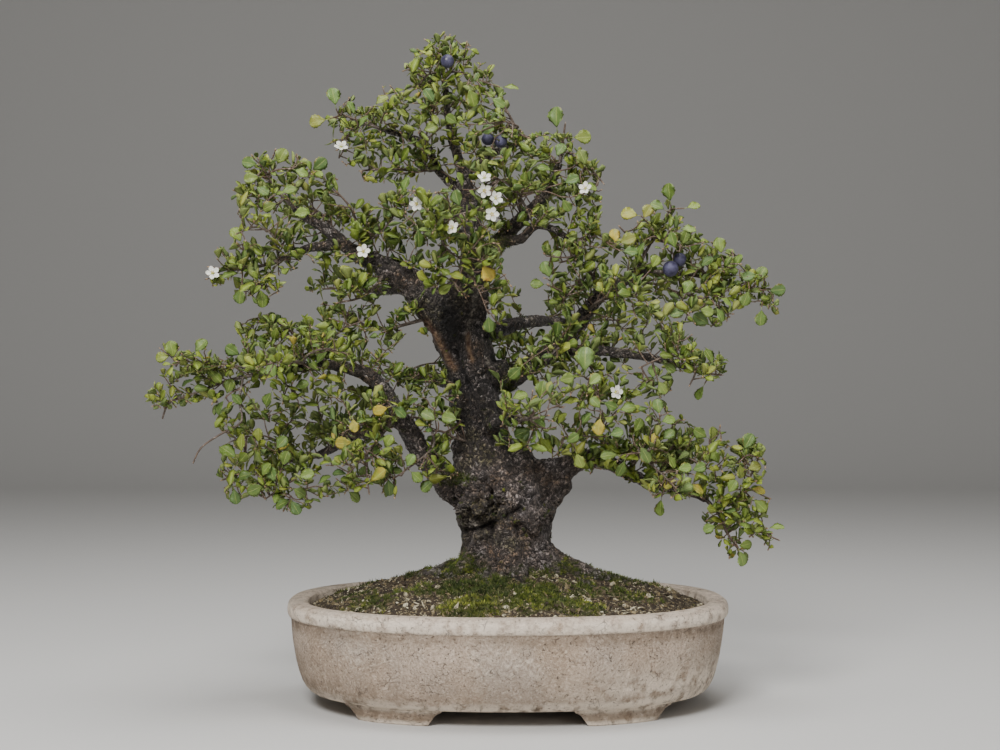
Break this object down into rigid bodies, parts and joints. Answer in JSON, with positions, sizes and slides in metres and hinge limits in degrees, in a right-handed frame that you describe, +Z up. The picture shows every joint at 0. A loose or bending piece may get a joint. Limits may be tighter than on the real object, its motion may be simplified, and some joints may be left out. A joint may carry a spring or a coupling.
{
  "type": "blackthorn bonsai",
  "caption": "Old blackthorn bonsai in an informal upright style, in leaf with a few flowers and sloes, standing in its filled oval pot.",
  "frame": {"origin": "on the plane that the pot's feet stand on, under the middle of the whole object's box", "axes": "+Z up along the trunk; -Y towards the front of the tree, which the picture shows; +X to the right seen from the front, along the pot's long side"},
  "size_m": [0.5132, 0.2802, 0.5309],
  "materials": {
    "ceramic": "aged cream-grey stoneware, matt, with stains and pale mineral marks",
    "earth": "dark grained bonsai soil with litter and moss",
    "bark": "rough fissured grey-brown bark",
    "leaf": "satin green leaf, with thin brown twigs",
    "petal": "soft white petal",
    "fruit": "blue-black skin under a pale waxy bloom",
    "screen": "matt black plastic"
  },
  "bodies": {
    "root": {"bloom_apex_left": "petal", "bloom_centre_left": "petal", "bloom_centre_lower": "petal", "bloom_centre_middle": "petal", "bloom_centre_right": "petal", "bloom_centre_upper": "petal", "bloom_front_high": "petal", "bloom_left_high": "petal", "bloom_left_tip": "petal", "bloom_right_high": "petal", "bloom_right_mid": "petal", "drain_screen_left": "screen", "drain_screen_right": "screen", "pot": "ceramic", "sloe_apex": "fruit", "sloe_centre_left": "fruit", "sloe_centre_right": "fruit", "sloe_right_left": "fruit", "sloe_right_right": "fruit", "soil": "earth", "spray_apex": "leaf", "spray_apex_left": "leaf", "spray_apex_left_low": "leaf", "spray_apex_right": "leaf", "spray_back_high": "leaf", "spray_back_left": "leaf", "spray_back_low": "leaf", "spray_back_right": "leaf", "spray_front_high": "leaf", "spray_front_low": "leaf", "spray_left_between": "leaf", "spray_left_high_back": "leaf", "spray_left_high_low": "leaf", "spray_left_high_tip": "leaf", "spray_left_high_top": "leaf", "spray_left_high_under": "leaf", "spray_left_low_crown": "leaf", "spray_left_low_front": "leaf", "spray_left_low_tip": "leaf", "spray_left_under_back": "leaf", "spray_left_under_front": "leaf", "spray_left_under_tip": "leaf", "spray_right_high_back": "leaf", "spray_right_high_front": "leaf", "spray_right_high_tip": "leaf", "spray_right_high_under": "leaf", "spray_right_low_front": "leaf", "spray_right_low_mid": "leaf", "spray_right_low_tip": "leaf", "spray_right_mid_back": "leaf", "spray_right_mid_front": "leaf", "spray_right_mid_left": "leaf", "spray_right_mid_tip": "leaf", "spray_right_mid_up": "leaf", "spray_right_midlow": "leaf", "spray_right_midlow_near": "leaf", "spray_trunk_left": "leaf", "spray_trunk_left_low": "leaf", "tree": "bark"}
  },
  "joints": []
}
